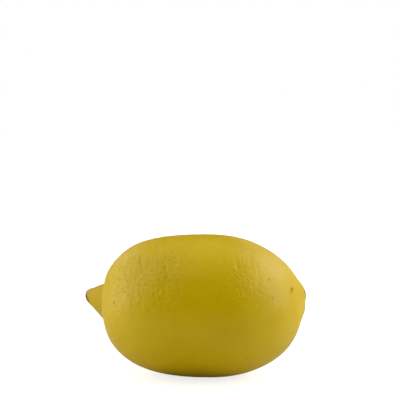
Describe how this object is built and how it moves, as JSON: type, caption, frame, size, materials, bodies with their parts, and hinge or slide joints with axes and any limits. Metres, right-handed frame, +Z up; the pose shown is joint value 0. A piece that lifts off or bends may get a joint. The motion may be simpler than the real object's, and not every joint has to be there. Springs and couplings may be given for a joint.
{
  "type": "lemon",
  "caption": "Whole lemon lying on its side: a thick-skinned oval fruit with a blunt nipple at one end and a round calyx button in a shallow dip at the other.",
  "frame": {"origin": "on the surface that the fruit lies on, below the middle of its bounding box", "axes": "+X along the fruit, from its nipple to its stem end; +Z up; the long axis is slightly bowed and both ends lean towards +Y"},
  "size_m": [0.0946, 0.0606, 0.0598],
  "materials": {
    "rind": "satin",
    "calyx": "matte"
  },
  "bodies": {
    "root": {"fruit": "rind", "stem_button": "calyx"}
  },
  "joints": []
}
